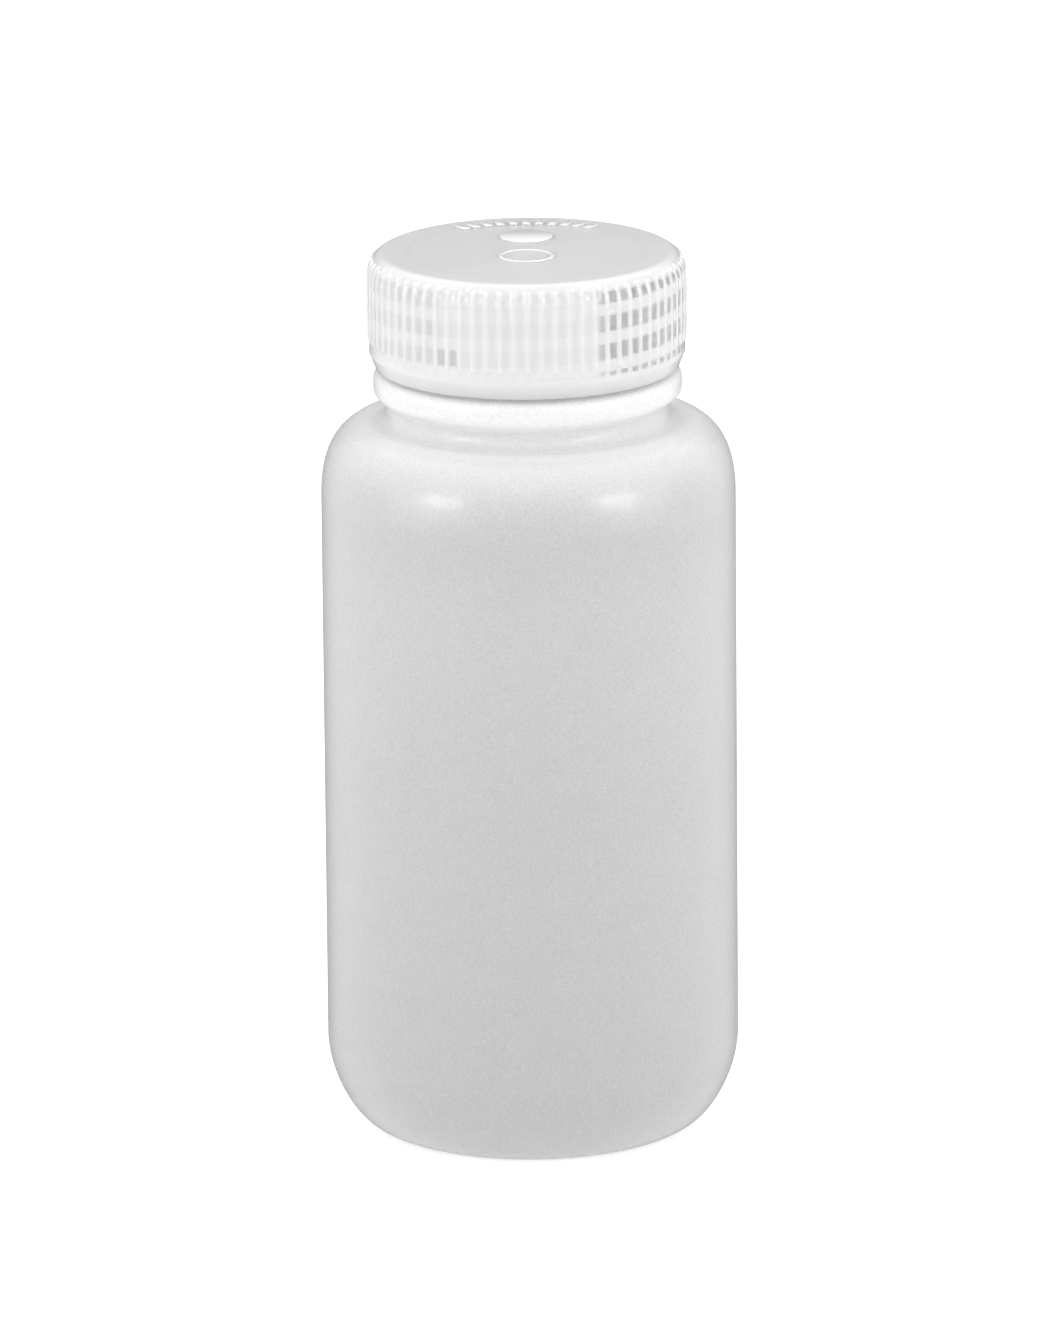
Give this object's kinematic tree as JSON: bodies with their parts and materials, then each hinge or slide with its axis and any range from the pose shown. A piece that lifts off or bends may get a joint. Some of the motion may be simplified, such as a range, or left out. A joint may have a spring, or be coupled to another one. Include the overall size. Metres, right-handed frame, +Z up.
{
  "type": "reagent bottle",
  "caption": "Cylindrical wide-mouth plastic reagent bottle with a rounded shoulder, a beaded threaded neck, a ribbed screw closure and a plug seal under it.",
  "frame": {"origin": "centre of the base, on the plane the bottle stands on", "axes": "+Z up along the axis of the bottle; +X to the right and +Y away when the front is seen; the row of dashes on the closure is at the back, towards +Y"},
  "size_m": [0.074, 0.074, 0.1608],
  "materials": {
    "bottle_polyethylene": "natural translucent high-density polyethylene, satin, with a fine frosted grain",
    "closure_polypropylene": "natural translucent polypropylene, semi-gloss on the skirt and fine matte on the top",
    "seal_polyethylene": "soft white polyethylene, matte"
  },
  "bodies": {
    "bottle_body": {"bottle": "bottle_polyethylene"},
    "seal_body": {"plug_seal": "seal_polyethylene"},
    "closure_body": {"closure": "closure_polypropylene"}
  },
  "joints": [
    {"name": "closure_lift", "type": "slide", "parent": "bottle_body", "child": "seal_body", "axis": [0, 0, 1], "range_m": [0, 0.0204]},
    {"name": "closure_turn", "type": "hinge", "parent": "seal_body", "child": "closure_body", "pos_m": [0, 0, 0.158], "axis": [0, 0, 1], "range_deg": [0, 1440]}
  ],
  "couplings": [
    {"joint": "closure_lift", "follows": "closure_turn", "m_per_rad": 0.00080851}
  ]
}
